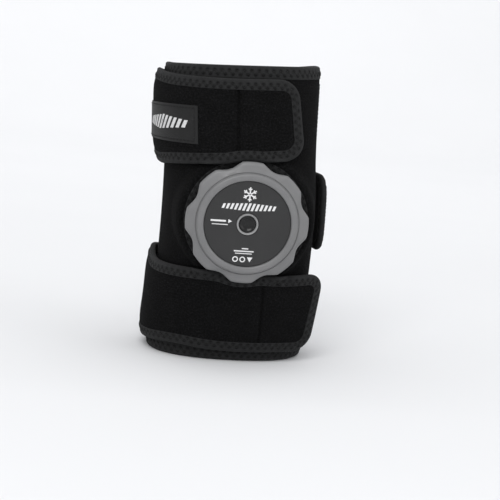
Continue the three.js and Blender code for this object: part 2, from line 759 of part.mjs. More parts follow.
const bezel = [
  [WELL_RADIUS, DISC_FLOOR + 0.3],
  [BOSS_RADIUS - 0.2, DISC_FLOOR + 0.3],
  [BOSS_RADIUS - 0.2, DISC_FLOOR + 1.9],
  [BOSS_RADIUS - 0.9, DISC_FLOOR + 2.4],
  [WELL_RADIUS + 0.3, DISC_FLOOR + 2.4],
  [WELL_RADIUS, DISC_FLOOR + 2],
];
add(cap, "button_bezel", turned(bezel, 32), bezelPlastic);

// ---- release valve: the button pushes the seal off its seat against the spring -------------------
const SPRING_RADIUS = 3.9;
const SPRING_WIRE = 0.4;
class Helix extends THREE.Curve {
  getPoint(t) {
    const turns = 4;
    const rise = 10.4 - 0.3 - SPRING_WIRE - (VALVE_FLOOR + 1.7 + SPRING_WIRE);
    const angle = t * turns * TURN;
    const height = VALVE_FLOOR + 1.7 + SPRING_WIRE + rise * t;
    return new THREE.Vector3(SPRING_RADIUS * Math.cos(angle), SPRING_RADIUS * Math.sin(angle), height);
  }
}
const wire = new THREE.Shape(
  Array.from({ length: 5 }, (_, i) => {
    const angle = (TURN * i) / 5;
    return new THREE.Vector2(SPRING_WIRE * Math.cos(angle), SPRING_WIRE * Math.sin(angle));
  }),
);
const spring = new THREE.ExtrudeGeometry(wire, { steps: 32, extrudePath: new Helix() });
add(cap, "return_spring", spring, springSteel);

const button = new THREE.Group();
button.name = "button_press";
cap.add(button);
const buttonProfile = [
  [0, 10.4],
  [6.1, 10.4],
  [6.1, 12.9],
  [5.4, 13.6],
  [3.6, 13.3],
  [0, 12.9],
];
add(button, "release_button", turnedSolid(buttonProfile), buttonRubber);
const stemProfile = [
  [0, -1.4],
  [1.2, -1.4],
  [1.5, -1.1],
  [1.5, 9.2],
  [2.6, 9.2],
  [2.6, 10.1],
  [0, 10.1],
];
add(button, "valve_stem", turnedSolid(stemProfile, 20), neckPlastic);
const seal = [
  [1.8, 0.9],
  [4.6, 0.9],
  [4.6, 2.1],
  [4, 2.3],
  [1.8, 2.3],
];
add(button, "valve_seal", turned(seal, 24), sealRubber);
const clip = [
  [1.8, 0],
  [3.4, 0],
  [3.4, 0.6],
  [1.8, 0.6],
];
add(button, "stem_clip", turned(clip, 20), springSteel);

export default wrap;
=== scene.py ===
import math

import bpy
import numpy as np
from mathutils import Matrix, Vector


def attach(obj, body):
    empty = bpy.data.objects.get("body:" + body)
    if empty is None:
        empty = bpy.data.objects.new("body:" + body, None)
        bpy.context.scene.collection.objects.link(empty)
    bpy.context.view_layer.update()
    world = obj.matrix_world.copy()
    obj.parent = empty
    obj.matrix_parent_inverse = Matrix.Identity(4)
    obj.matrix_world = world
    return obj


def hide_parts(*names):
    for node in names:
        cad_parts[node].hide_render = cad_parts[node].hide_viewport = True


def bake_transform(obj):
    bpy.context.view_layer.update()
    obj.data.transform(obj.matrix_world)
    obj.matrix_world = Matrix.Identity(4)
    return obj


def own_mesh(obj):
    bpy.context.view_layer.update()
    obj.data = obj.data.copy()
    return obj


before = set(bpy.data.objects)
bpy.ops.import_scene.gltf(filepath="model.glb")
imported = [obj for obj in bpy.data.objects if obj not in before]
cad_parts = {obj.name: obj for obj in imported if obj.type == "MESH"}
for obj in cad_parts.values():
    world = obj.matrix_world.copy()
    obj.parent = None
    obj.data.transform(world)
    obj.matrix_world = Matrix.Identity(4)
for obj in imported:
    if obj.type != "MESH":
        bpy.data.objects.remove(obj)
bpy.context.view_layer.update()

RAD = math.pi / 180
ROOT = "sleeve"
CENTRE = np.array([0.365, 13.7, 0.0])  # from the sleeve's axes to the model's frame
MM_PER_DEG = 62.0 * RAD  # along a strap, for each degree round the leg
WING_END_RADIUS = 50.0

FOAM = 4.6  # the panels' thickness
TAPE = 0.5  # the binding tape's thickness
STITCH = 5.4  # one zigzag along the tape
HEM_WIDTH, HEM_ROWS = 9.0, (3.2, 6.6)  # width of the folded tape, and its needle rows from the fold
STRAP_WIDTH, STRAP_ROWS = 7.6, (3.4, 6.1)
RING_WIDTH, RING_ROWS = 6.4, (2.5, 5.2)
PANEL_MAP, STRAP_MAP, LABEL_MAP = 1.06, 1.08, 1.14  # millimetres of cloth map for each degree

FRONT_EDGE, CALF_END, SHIN_END = 78.0, -172.0, 170.0  # the panels' edges round the leg, in degrees
CELL = np.array([2.8, -68.0, 107.5])  # the ice cell's seat
SEAT_RADIUS = 46.5
TILT = 5 * RAD
CELL_OUT = np.array([0.0, -math.cos(TILT), -math.sin(TILT)])
CELL_UP = np.array([0.0, -math.sin(TILT), math.cos(TILT)])
CELL_SIDE = np.array([1.0, 0.0, 0.0])
HOLE_RADIUS = 39.5
CORNER = 14.0  # radius of a strap's rounded end


# ---- the worn shape ----
def unit(v):
    return v / np.linalg.norm(v, axis=-1, keepdims=True)


def matched(*values):
    return np.broadcast_arrays(*[np.asarray(value, float) for value in values])


def smooth_min(a, b, k):
    h = np.maximum(k - np.abs(a - b), 0) / np.maximum(k, 1e-9)
    return np.minimum(a, b) - np.where(k > 0, h * h * k / 4, 0)


def waist(z):
    return 1.2 / (1 + np.exp((135 - z) / 7))


def midline(z):
    return 2 - 3 * ((z - 110) / 108) ** 2 - waist(z)


def half_width(z):
    return 57.6 + 2 * ((z - 110) / 108) ** 2 - waist(z)


def near_depth(z):
    plate = 68 + (z - 107.5) * math.tan(TILT)
    return smooth_min(smooth_min(50 + 0.205 * z, 58 + 0.19 * (218 - z), 8), plate - 1, 4)


def limb_radius(deg, half, depth, power):
    s, c = np.abs(np.sin(deg * RAD)) / half, np.abs(np.cos(deg * RAD)) / depth
    return (s**power + c**power) ** (-1 / power)


def base_radius(deg, z):
    near = np.cos(deg * RAD) > 0
    power = 2.3 + np.where(near, 0.9 * np.exp(-(((z - 107.5) / 60) ** 2)), 0)
    return limb_radius(deg, half_width(z), np.where(near, near_depth(z), 46 + 7 * z / 218), power)


def polar(deg, r, z):
    return np.stack([midline(z) + r * np.sin(deg * RAD), -r * np.cos(deg * RAD), z + 0 * r], -1)


def skin_radius(deg, z):
    base = base_radius(deg, z)
    inside, outside = np.full_like(base, 20), np.full_like(base, 110)
    for _ in range(30):
        r = (inside + outside) / 2
        p = polar(deg, r, z)
        d = p - CELL
        out = d @ CELL_OUT
        past = np.maximum(np.sqrt(np.maximum((d**2).sum(-1) - out**2, 0)) - SEAT_RADIUS, 0)
        drop = 0.3 * past + 0.1 * past**2 + 0.01 * past**4
        seat = out + drop + np.maximum(p[..., 1] + 50, 0) ** 2 / 8
        under = smooth_min(r - base, seat, 6 * np.clip(past / 5, 0, 1)) < 0
        inside, outside = np.where(under, r, inside), np.where(under, outside, r)
    return np.where(np.cos(deg * RAD) <= 0, base, (inside + outside) / 2)


def skin(deg, z, offset):
    """Points at a level offset from the panels' outer face, positive away from the leg."""
    deg, z, offset = matched(deg, z, offset)
    ring = lambda d: polar(d, skin_radius(d, z), z)
    along = ring(deg + 0.5) - ring(deg - 0.5)
    out = unit(np.stack([along[..., 1], -along[..., 0], 0 * z], -1))
    return ring(deg) + out * offset[..., None]


def top_edge(deg):
    return 217.6 + 2.6 * np.sin(deg * RAD) - 5 * np.minimum(np.cos(deg * RAD), 0) ** 2


def bump(deg, centre, width):
    return np.exp(-(((deg - centre) / width) ** 2))


def beside_cap(deg, radius):
    across = 62 * np.sin(deg * RAD) - 2.8
    return np.where(np.cos(deg * RAD) < 0, 0, np.sqrt(np.maximum(radius**2 - across**2, 0)))


def cell_at(x, y, w):
    """A point in the ice cell's axes."""
    return CELL + x[..., None] * CELL_SIDE + y[..., None] * CELL_UP + w[..., None] * CELL_OUT


def cell_point(angle, r, w):
    """The same by angle in degrees from the shin side, radius, and height along the cell's axis."""
    angle, r, w = matched(angle, r, w)
    return cell_at(r * np.cos(angle * RAD), r * np.sin(angle * RAD), w)


# ---- mesh helpers ----
def in_frame(p):
    return (np.asarray(p) + CENTRE) / 1000


def make(name, points, faces, material, uv=None, sharp=None):
    """A closed mesh whose faces point out."""
    points = np.asarray(points, float).reshape(-1, 3)
    triangles = np.array([(f[0], f[i], f[i + 1]) for f in faces for i in range(1, len(f) - 1)])
    a, b, c = (points[triangles[:, i]] for i in range(3))
    if np.einsum("ij,ij->i", a, np.cross(b, c)).sum() < 0:
        faces = [f[::-1] for f in faces]
    mesh = bpy.data.meshes.new(name)
    mesh.from_pydata(in_frame(points).tolist(), [], faces)
    if uv is not None:
        corner = np.zeros(len(mesh.loops), int)
        mesh.loops.foreach_get("vertex_index", corner)
        flat = np.asarray(uv, float).reshape(-1, 2)[corner]
        mesh.uv_layers.new(name="cloth").data.foreach_set("uv", flat.ravel())
    mesh.shade_smooth()
    if sharp:
        mesh.set_sharp_from_angle(angle=sharp * RAD)
    mesh.materials.append(material)
    obj = bpy.data.objects.new(name, mesh)
    bpy.context.scene.collection.objects.link(obj)
    return obj


def loft_faces(rows, count, closed=False, points=False):
    """Faces between rings of count points each.

    An open row's ends are closed by strips, or with points each by a single point that comes after
    the rings' own points.
    """
    faces = []
    for i in range(rows if closed else rows - 1):
        k = (i + 1) % rows
        for j in range(count):
            n = (j + 1) % count
            faces.append((i * count + j, i * count + n, k * count + n, k * count + j))
    end = (rows - 1) * count
    if points:
        for j in range(count):
            n = (j + 1) % count
            faces += [(end + count, n, j), (end + count + 1, end + j, end + n)]
    elif not closed:
        for j in range(count // 2 - 1):
            strip = (j, j + 1, count - 2 - j, count - 1 - j)
            faces += [strip[::-1], tuple(end + s for s in strip)]
    return faces


def slab(name, outer, inner, material, uv, sharp=55):
    """A sheet with thickness from two equal grids of points."""
    rings = np.concatenate([outer, inner[:, ::-1]], 1)
    maps = np.concatenate([uv, uv[:, ::-1]], 1)
    return make(name, rings, loft_faces(*rings.shape[:2]), material, maps, sharp)


def span(start, stop, size):
    return np.linspace(start, stop, max(2, int(round(abs(stop - start) / size)) + 1))


def lathe(name, profile, material, segments=160, shift=None, sharp=32):
    """Turns a closed profile about the cell's axis.

    Each of its points is a radius, a height and, where the outline isn't round, the share of shift to
    add to the radius.
    """
    angle = np.arange(segments) * 360 / segments
    wave = shift(angle) if shift else 0
    rings = np.stack([cell_point(angle, r + sum(share) * wave, w) for r, w, *share in profile], 1)
    return make(name, rings, loft_faces(segments, len(profile), closed=True), material, None, sharp)


def lathe_solid(name, profile, material, segments=96, sharp=32):
    """Like lathe, for a profile that starts and ends on the axis."""
    angle = np.arange(segments) * 360 / segments
    rings = [cell_point(angle, r, w) for r, w in profile[1:-1]]
    ends = [cell_point(0, 0, profile[k][1])[None] for k in (0, -1)]
    faces = loft_faces(len(rings), segments, points=True)
    return make(name, np.concatenate(rings + ends), faces, material, None, sharp)


def threads(name, starts, ends, normals, material, radius=0.27, rise=0.22):
    """Short stitches, each a thin bent rod that dips into the cloth at both ends."""
    starts, ends, normals = (np.asarray(a, float).reshape(-1, 3) for a in (starts, ends, normals))
    side = unit(np.cross(normals, unit(ends - starts)))
    shares = np.array([0, 0.14, 0.5, 0.86, 1])[:, None]
    lifts = np.array([-0.3, 0.6, 1, 0.6, -0.3])[:, None] * rise
    turn = (np.arange(6) * math.pi / 3)[:, None]
    line = starts[:, None] + (ends - starts)[:, None] * shares + normals[:, None] * lifts
    ring = np.cos(turn) * normals[:, None] + np.sin(turn) * side[:, None]
    points = line[:, :, None] + radius * ring[:, None]
    rod = [(k + j, k + (j + 1) % 6, k + 6 + (j + 1) % 6, k + 6 + j) for k in range(0, 24, 6) for j in range(6)]
    rod += [(5, 4, 3, 2, 1, 0), tuple(range(24, 30))]
    faces = [tuple(30 * i + corner for corner in face) for i in range(len(starts)) for face in rod]
    return make(name, points, faces, material)


def raised(name, outlines, at, levels, material):
    """Thin raised shapes from flat outlines. at gives the point for x, y and a level."""
    points, faces = [], []
    for outline in outlines:
        base, n = len(points), len(outline)
        points += [at(x, y, level) for level in levels for x, y in outline]
        faces += [tuple(range(base + n - 1, base - 1, -1)), tuple(range(base + n, base + 2 * n))]
        faces += [(base + k, base + (k + 1) % n, base + n + (k + 1) % n, base + n + k) for k in range(n)]
    return make(name, points, faces, material, sharp=30)


# ---- materials ----
class Finish:
    """A node material round one Principled shader."""

    def __init__(self, name, color, roughness, **sockets):
        self.material = bpy.data.materials.new(name)
        self.material.use_nodes = True
        self.tree = self.material.node_tree
        self.shader = self.tree.nodes["Principled BSDF"]
        self.shader.inputs["Base Color"].default_value = (*color, 1)
        self.shader.inputs["Roughness"].default_value = roughness
        for key, value in sockets.items():
            self.shader.inputs[key.replace("_", " ")].default_value = value

    def node(self, kind, **inputs):
        made = self.tree.nodes.new(kind)
        for key, value in inputs.items():
            self.put(made.inputs[key.replace("_", " ")], value)
        return made

    def put(self, socket, value):
        if isinstance(value, bpy.types.NodeSocket):
            self.tree.links.new(value, socket)
        else:
            socket.default_value = value

    def math(self, operation, a, b=0.0, c=0.0):
        made = self.tree.nodes.new("ShaderNodeMath")
        made.operation = operation
        for socket, value in zip(made.inputs, (a, b, c)):
            self.put(socket, value)
        return made.outputs[0]

    def cloth(self):
        """The piece's own map, in millimetres along and across the cloth. Binding tape has its own."""
        made = self.tree.nodes.new("ShaderNodeUVMap")
        made.uv_map = "cloth"
        return made.outputs["UV"]

    def place(self):
        return self.tree.nodes.new("ShaderNodeTexCoord").outputs["Object"]

    def noise(self, vector, scale, detail=3.0, roughness=0.55):
        made = self.node("ShaderNodeTexNoise", Vector=vector, Scale=scale, Detail=detail, Roughness=roughness)
        return made.outputs["Fac"]

    def ramp(self, factor, stops):
        """Takes the base colour from a factor, by stops of place and colour."""
        made = self.node("ShaderNodeValToRGB", Fac=factor)
        elements = made.color_ramp.elements
        while len(elements) < len(stops):
            elements.new(0.5)
        for element, (at, color) in zip(elements, stops):
            element.position = at
            element.color = (*color, 1)
        self.put(self.shader.inputs["Base Color"], made.outputs["Color"])

    def spread(self, factor, low, high):
        """Takes the roughness from a factor."""
        made = self.node("ShaderNodeMapRange", Value=factor, To_Min=low, To_Max=high)
        self.put(self.shader.inputs["Roughness"], made.outputs["Result"])

    def bump(self, height, strength, distance):
        made = self.node("ShaderNodeBump", Height=height, Strength=strength, Distance=distance)
        self.put(self.shader.inputs["Normal"], made.outputs["Normal"])

    def waves(self, along, length):
        return self.math("SINE", self.times(along, 6.2832 / length))

    def times(self, a, b):
        return self.math("MULTIPLY", a, b)

    def split(self, vector):
        made = self.node("ShaderNodeSeparateXYZ", Vector=vector)
        return made.outputs["X"], made.outputs["Y"]


def grey(value, tint=(1.0, 1.0, 1.0)):
    return tuple(value * t for t in tint)


def mixed(finish, a, b, share):
    return finish.math("ADD", finish.times(a, 1 - share), finish.times(b, share))


def loop_fabric():
    """Brushed loop cloth: a dark fuzz with paler tips."""
    f = Finish("loop_fabric", grey(0.004), 0.98, Specular_IOR_Level=0.03, Sheen_Weight=0.006, Sheen_Roughness=0.6)
    cloth = f.cloth()
    fuzz = f.noise(cloth, 0.8, 4.0, 0.75)
    patch = f.noise(cloth, 0.09, 2.0)
    tips = [(0.34, grey(0.0018)), (0.5, grey(0.0048, (1, 1, 1.03))), (0.66, grey(0.0125, (1, 1, 1.04)))]
    f.ramp(mixed(f, fuzz, patch, 0.12), tips)
    f.bump(fuzz, 0.85, 0.0009)
    f.spread(patch, 0.9, 1.0)
    return f.material


def binding(name, rows, pitch=STITCH):
    """Folded knit tape with a dip at each needle hole; the dips are also darkened in its colour as painted shade.

    Its map is stitches along it and millimetres from the folded edge.
    """
    f = Finish(name, grey(0.015), 0.88, Specular_IOR_Level=0.1, Sheen_Weight=0.03, Sheen_Roughness=0.5)
    x, y = f.split(f.cloth())
    rib = f.waves(x, 1 / round(pitch / 0.75))
    even = f.node("ShaderNodeCombineXYZ", X=f.times(x, pitch), Y=y).outputs[0]
    patch = f.noise(even, 0.14, 2.0)
    fuzz = mixed(f, f.noise(even, 0.9, 4.0, 0.7), patch, 0.35)
    holes = []
    for row, phase in zip(rows, (0.5, 0.0)):
        from_hole = f.math("SUBTRACT", f.math("FRACT", f.math("ADD", x, phase)), 0.5)
        dx = f.times(from_hole, pitch)
        dy = f.math("SUBTRACT", y, row)
        squared = f.math("ADD", f.times(dx, dx), f.times(dy, dy))
        holes.append(f.math("POWER", 2.718, f.times(squared, -0.75)))
    # painted shade: the needle-hole dips below darken the tape's colour as well as denting its bump
    dips = f.times(f.math("MAXIMUM", *holes), f.math("MULTIPLY_ADD", patch, 1.6, 0.1))
    # painted shade: the tape's colour is darkened where the needle-hole dips are
    shade = f.math("SUBTRACT", mixed(f, fuzz, 0.5, 0.35), f.times(dips, 0.44))
    tint = (1, 1.01, 1.03)
    f.ramp(shade, [(0.08, grey(0.0018)), (0.4, grey(0.015, tint)), (0.66, grey(0.028, tint))])
    relief = mixed(f, f.times(rib, 0.35), fuzz, 0.5)
    f.bump(f.math("SUBTRACT", relief, f.times(dips, 1.3)), 0.75, 0.0006)
    return f.material


def label_weave():
    f = Finish("label_weave", grey(0.026), 0.68, Specular_IOR_Level=0.2, Sheen_Weight=0.04)
    x, y = f.split(f.cloth())
    weave = f.times(f.waves(x, 0.5), f.waves(y, 0.42))
    cloud = f.noise(f.cloth(), 0.12, 2.0)
    shade = mixed(f, f.math("MULTIPLY_ADD", weave, 0.25, 0.5), cloud, 0.5)
    f.ramp(shade, [(0.25, grey(0.0085)), (0.75, grey(0.0148, (1, 1, 1.03)))])
    f.bump(weave, 0.35, 0.00012)
    return f.material


def thread(name, value):
    f = Finish(name, grey(value), 0.75, Specular_IOR_Level=0.12, Sheen_Weight=0.02)
    twist = f.noise(f.place(), 2600.0, 2.0)
    f.ramp(twist, [(0.3, grey(value * 0.6)), (0.7, grey(value * 1.3))])
    f.bump(twist, 0.4, 0.0001)
    return f.material


def plastic(name, value, roughness, tint=(1.0, 1.0, 1.0), grain=0.16, specular=0.5, coat=0.0):
    """Moulded plastic or rubber with a fine grain, faint colour drift and light handling wear."""
    gloss = {"Specular_IOR_Level": specular, "Coat_Weight": coat, "Coat_Roughness": 0.15}
    f = Finish(name, grey(value, tint), roughness, **gloss)
    place = f.place()
    fine, drift = f.noise(place, 2200.0, 3.0), f.noise(place, 45.0, 3.0)
    f.ramp(mixed(f, fine, drift, 0.65), [(0.3, grey(value * 0.9, tint)), (0.7, grey(value * 1.1, tint))])
    f.spread(f.noise(place, 120.0, 4.0), roughness * 0.82, min(roughness * 1.2, 1))
    f.bump(fine, grain, 0.00008)
    return f.material


def hook_tape():
    f = Finish("hook_tape", grey(0.012), 0.7, Specular_IOR_Level=0.35)
    x, y = f.split(f.cloth())
    hooks = f.times(f.waves(x, 1.496), f.waves(y, 1.496))
    f.ramp(f.math("MULTIPLY_ADD", hooks, 0.5, 0.5), [(0.4, grey(0.006)), (0.8, grey(0.03))])
    f.bump(hooks, 0.9, 0.0006)
    return f.material


def film():
    f = Finish("bladder_film", grey(0.16, (0.75, 0.95, 1.15)), 0.42, Specular_IOR_Level=0.5, Subsurface_Weight=0.1)
    place = f.place()
    crease = f.noise(place, 70.0, 5.0, 0.65)
    f.ramp(crease, [(0.3, grey(0.12, (0.72, 0.95, 1.2))), (0.7, grey(0.22, (0.78, 0.95, 1.1)))])
    f.spread(f.noise(place, 160.0), 0.32, 0.55)
    f.bump(crease, 0.5, 0.0012)
    return f.material


def steel():
    f = Finish("spring_steel", grey(0.55), 0.3, Metallic=1.0)
    lines = f.noise(f.place(), 900.0, 2.0)
    f.ramp(lines, [(0.3, grey(0.42)), (0.7, grey(0.62))])
    f.spread(lines, 0.22, 0.4)
    return f.material


FABRIC = loop_fabric()
STRAP_BIND = binding("strap_binding", STRAP_ROWS)
RING_BIND = binding("opening_binding", RING_ROWS)
HEM_BIND = binding("hem_binding", HEM_ROWS)
LABEL = label_weave()
THREAD = thread("binding_thread", 0.014)
DARK_THREAD = thread("seam_thread", 0.0025)
WHITE_THREAD = thread("label_thread", 0.62)
CAP = plastic("cap_plastic", 0.168, 0.42, (1.0, 1.0, 1.01), specular=0.4)
DISC = plastic("disc_plastic", 0.03, 0.45, (1.0, 1.0, 1.01), 0.1, specular=0.28)
PRINT = plastic("pad_print", 0.72, 0.55, grain=0.05)
BEZEL = plastic("bezel_plastic", 0.26, 0.32, specular=0.4)
BUTTON = plastic("button_rubber", 0.01, 0.24, grain=0.1, specular=0.25, coat=0.1)
NECK = plastic("neck_plastic", 0.03, 0.45)
RUBBER = plastic("seal_rubber", 0.008, 0.65, grain=0.3, specular=0.3)
HOOK = hook_tape()
FILM = film()
STEEL = steel()


# ---- cloth building blocks ----
def surface(level, change, width):
    """A cloth surface's level by distance from the edge, where the binding squeezes it."""
    return lambda e: level + change * np.exp(-((np.asarray(e, float) / width) ** 2))


class Run:
    """A length of binding tape folded over an edge.

    deg and z are the edge's places and inward their change for each millimetre into the cloth. face
    and back give the cloth's two surfaces by distance from the edge, and place makes points.
    """

    def __init__(self, deg, z, inward, width, rows, face, back, place, closed=False):
        self.deg, self.z = np.asarray(deg, float), np.asarray(z, float)
        self.inward = np.broadcast_to(np.asarray(inward, float), (len(self.deg), 2))
        self.width, self.rows, self.closed = width, rows, closed
        self.face, self.back, self.place = face, back, place
        middle = self.at(self.deg, self.z, self.inward, np.full(len(self.deg), width / 2), 0)
        steps = np.linalg.norm(np.diff(middle, axis=0), axis=1)
        self.along = np.concatenate([[0], np.cumsum(steps)])
        total = self.along[-1] + (np.linalg.norm(middle[0] - middle[-1]) if closed else 0)
        self.count = max(1, round(total / STITCH))
        self.along = self.along / total * self.count

    def at(self, deg, z, inward, e, proud):
        return self.place(deg + inward[:, 0] * e, z + inward[:, 1] * e, self.face(e) + proud)

    def tape(self, name, material):
        w = self.width
        a, b = self.rows
        legs = np.array([w, w - 0.25, w - 0.9, b + 0.3, b - 0.3, (a + b) / 2, a + 0.35, a - 0.3])
        lift = np.array([0.12, 0.4, 0.52, 0.42, 0.46, 0.75, 0.5, 0.5])
        turn = np.linspace(90, -90, 9)[1:-1] * RAD
        round_off = 1.6
        top, under = self.face(round_off), self.back(round_off)
        middle, half = (top + under) / 2, (top - under) / 2

        def contour(thick):
            """The section's distances from the edge and levels, out from the cloth by a thickness."""
            fold = round_off - (1.4 + thick) * np.cos(turn)
            up = lift * thick / TAPE
            bend = middle + (half + thick) * np.sin(turn)
            level = np.concatenate([self.face(legs) + up, bend, (self.back(legs) - up)[::-1]])
            return np.concatenate([legs, fold, legs[::-1]]), level

        e_out, level_out = contour(TAPE)
        e_in, level_in = contour(0.03)
        e, level = np.concatenate([e_out, e_in[::-1]]), np.concatenate([level_out, level_in[::-1]])
        deg = self.deg[:, None] + self.inward[:, :1] * e
        z = self.z[:, None] + self.inward[:, 1:] * e
        points = self.place(deg, z, np.broadcast_to(level, deg.shape))
        uv = np.stack(matched(self.along[:, None], e[None]), -1)
        return make(name, points, loft_faces(*points.shape[:2], closed=self.closed), material, uv, 60)

    def on(self, s, e, proud=0.52):
        pick = lambda values: np.interp(s, self.along, values)
        inward = np.stack([pick(self.inward[:, 0]), pick(self.inward[:, 1])], -1)
        return self.at(pick(self.deg), pick(self.z), inward, np.full(len(s), float(e)), proud)

    def stitches(self):
        """Starts, ends and normals of a zigzag between the tape's two needle rows."""
        k = np.arange(self.count)
        a, b = self.rows
        out = []
        for s0, e0, s1, e1 in ((k, a, k + 0.5, b), (k + 0.5, b, k + 0.98, a)):
            start, end = self.on(s0, e0), self.on(np.minimum(s1, self.along[-1]), e1)
            up = self.on((s0 + s1) / 2, (e0 + e1) / 2, 1.5) - self.on((s0 + s1) / 2, (e0 + e1) / 2, 0.5)
            out.append((start, end, unit(up)))
        return joined(out)


def joined(sets):
    """Several sets of starts, ends and normals as one."""
    return [np.concatenate(column) for column in zip(*sets)]


def sew(name, runs):
    return threads(name, *joined([run.stitches() for run in runs]), THREAD)


def finish_piece(obj, body, nodes=()):
    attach(obj, body)
    if nodes:
        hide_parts(*nodes)
    return obj


# ---- panels ----
panel_face, panel_back = surface(0, -0.7, 5), surface(-FOAM, 0.6, 5)


def panel_levels(z, deg):
    """The panel's two surfaces, squeezed where the hems are sewn."""
    edge = np.minimum(z, top_edge(deg) - z)
    return panel_face(edge), panel_back(edge)


def wing(name, start, stop):
    deg = span(start, stop, 2)[:, None]
    share = np.linspace(0, 1, 60)[None]
    share = share - 0.06 * np.sin(share * 2 * math.pi)
    z = 1.2 + (top_edge(deg) - 2.4) * share
    face, back = panel_levels(z, deg)
    uv = np.stack(matched(deg * PANEL_MAP, z), -1)
    return slab(name, skin(deg, z, face), skin(deg, z, back), FABRIC, uv)


def front_panel():
    """The panel with the round opening, in rings from the opening out to the panel's own edge."""
    edge = FRONT_EDGE - 0.2
    across = span(-edge, edge, 2.2)
    heights = lambda d: np.linspace(1.2, top_edge(d) - 1.2, 56)
    rim = [(d, 1.2) for d in across[:-1]]
    rim += [(edge, z) for z in heights(edge)[:-1]]
    rim += [(d, top_edge(d) - 1.2) for d in across[:0:-1]]
    rim += [(-edge, z) for z in heights(-edge)[:0:-1]]
    rim = np.array(rim)
    angle = np.arctan2(rim[:, 1] - CELL[2], rim[:, 0] * 1.05)
    deg, z = [], []
    radii = (HOLE_RADIUS + 0.2, 41.5, 43.5, 45.4, 47, 49, 51.5, 54)
    for r in radii:
        up = r * np.sin(angle)
        height = CELL[2] + up * math.cos(TILT)
        y = CELL[1] - up * math.sin(TILT)
        deg.append(np.arctan2(CELL[0] + r * np.cos(angle) - midline(height), -y) / RAD)
        z.append(height)
    last = len(radii) - 1
    for share in np.linspace(0, 1, 16)[1:]:
        deg.append(deg[last] + (rim[:, 0] - deg[last]) * share)
        z.append(z[last] + (rim[:, 1] - z[last]) * share)
    deg, z = np.stack(deg, 1), np.stack(z, 1)
    face, back = panel_levels(z, deg)
    face[:, :2] -= 0.15
    uv = np.stack([deg * PANEL_MAP, z], -1)
    rings = np.concatenate([skin(deg, z, face), skin(deg, z, back)[:, ::-1]], 1)
    maps = np.concatenate([uv, uv[:, ::-1]], 1)
    return make("sleeve_front", rings, loft_faces(*rings.shape[:2], closed=True), FABRIC, maps)


def hem_run(deg, z, inward):
    return Run(deg, z, inward, HEM_WIDTH, HEM_ROWS, panel_face, panel_back, skin)


def side_run(end, towards):
    z = span(HEM_WIDTH + 0.4, top_edge(end) - HEM_WIDTH - 0.4, 3)
    return hem_run(np.full(len(z), end), z, (towards / (RAD * WING_END_RADIUS), 0))


def opening_run():
    angle = span(0, 360, 2.5)[:-1]
    face, back = surface(0.35, -0.5, 3), surface(-FOAM, 0.5, 3)
    radius = 0 * angle + HOLE_RADIUS - 0.9
    return Run(angle, radius, (0, 1), RING_WIDTH, RING_ROWS, face, back, cell_point, closed=True)


front = finish_piece(front_panel(), ROOT, ["front_panel"])
calf = finish_piece(wing("sleeve_calf_wing", -FRONT_EDGE - 0.2, CALF_END + 1), ROOT, ["calf_wing"])
shin = finish_piece(wing("sleeve_shin_wing", FRONT_EDGE + 0.2, SHIN_END - 1), ROOT, ["shin_wing"])
hem_deg = span(CALF_END, SHIN_END, 1.4)
for key, run, node, tape in (
    ("bottom_hem", hem_run(hem_deg, 0 * hem_deg, (0, 1)), "bottom_hem_binding", HEM_BIND),
    ("top_hem", hem_run(hem_deg, top_edge(hem_deg), (0, -1)), "top_hem_binding", HEM_BIND),
    ("calf_edge", side_run(CALF_END, 1), "calf_edge_binding", HEM_BIND),
    ("shin_edge", side_run(SHIN_END, -1), "shin_edge_binding", HEM_BIND),
    ("opening_edge", opening_run(), "cell_opening_binding", RING_BIND),
):
    finish_piece(run.tape(key + "_tape", tape), ROOT, [node])
    finish_piece(sew(key + "_stitches", [run]), ROOT)


def seam_stitches(name, deg, bottom, top):
    """Flat stitches across the butted seam between two panels."""
    pitch = 3.2
    z = span(bottom, top, pitch)
    step = 2.3 / PANEL_MAP
    left, right = skin(deg - step, z, 0.12), skin(deg + step, z + pitch / 2, 0.12)
    left_again = skin(deg - step, z + pitch, 0.12)
    up = skin(deg, z, 1.0) - skin(deg, z, 0.0)
    return threads(name, *joined([(left, right, up), (right, left_again, up)]), THREAD, 0.24, 0.2)


for name, edge in (("calf_seam_stitches", -FRONT_EDGE), ("shin_seam_stitches", FRONT_EDGE)):
    finish_piece(seam_stitches(name, edge, HEM_WIDTH + 1, 204), ROOT)


# ---- straps ----
strap_face, strap_back = surface(6.0, -1.0, 6), surface(1.6, 0.5, 6)


def none(deg):
    return 0 * deg


